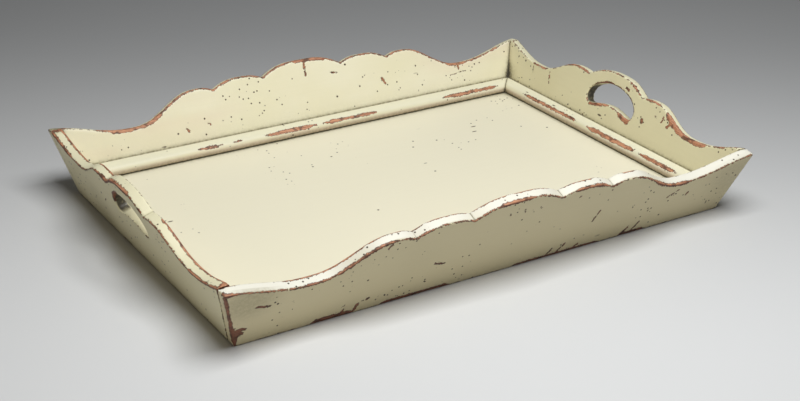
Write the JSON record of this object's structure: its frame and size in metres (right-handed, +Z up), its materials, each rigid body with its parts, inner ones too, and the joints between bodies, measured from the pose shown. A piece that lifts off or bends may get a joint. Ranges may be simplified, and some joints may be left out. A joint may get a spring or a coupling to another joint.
{
  "type": "serving tray",
  "caption": "Rectangular painted wooden serving tray with splayed, scalloped sides, a cut-out hand-hold in each end and mitred moulding round a flat floor.",
  "frame": {"origin": "middle of the tray's outline, on the surface that the boards' bottom edges stand on", "axes": "+X along the tray's length towards the right end, +Y towards the back side, +Z up"},
  "size_m": [0.7192, 0.5168, 0.109],
  "materials": {
    "painted_board": "cream milk paint rubbed through to red-brown wood on the edges, satin",
    "painted_moulding": "cream milk paint, worn through along the crown, satin",
    "painted_floor": "cream milk paint, smooth, a few specks and scratches, satin",
    "steel_nail": "bright finish nail, set and filled over",
    "steel_pin": "bright panel pin, set and filled over"
  },
  "bodies": {
    "root": {"floor_panel": "painted_floor", "front_side": "painted_board", "front_moulding": "painted_moulding", "front_pin_1": "steel_pin", "front_pin_2": "steel_pin", "front_pin_3": "steel_pin", "front_pin_4": "steel_pin", "front_pin_5": "steel_pin", "front_nail_1": "steel_nail", "front_nail_2": "steel_nail", "front_nail_3": "steel_nail", "front_nail_4": "steel_nail", "front_nail_5": "steel_nail", "front_nail_6": "steel_nail", "right_end": "painted_board", "right_moulding": "painted_moulding", "right_pin_1": "steel_pin", "right_pin_2": "steel_pin", "right_pin_3": "steel_pin", "back_side": "painted_board", "back_moulding": "painted_moulding", "back_pin_1": "steel_pin", "back_pin_2": "steel_pin", "back_pin_3": "steel_pin", "back_pin_4": "steel_pin", "back_pin_5": "steel_pin", "back_nail_1": "steel_nail", "back_nail_2": "steel_nail", "back_nail_3": "steel_nail", "back_nail_4": "steel_nail", "back_nail_5": "steel_nail", "back_nail_6": "steel_nail", "left_end": "painted_board", "left_moulding": "painted_moulding", "left_pin_1": "steel_pin", "left_pin_2": "steel_pin", "left_pin_3": "steel_pin"}
  },
  "joints": []
}
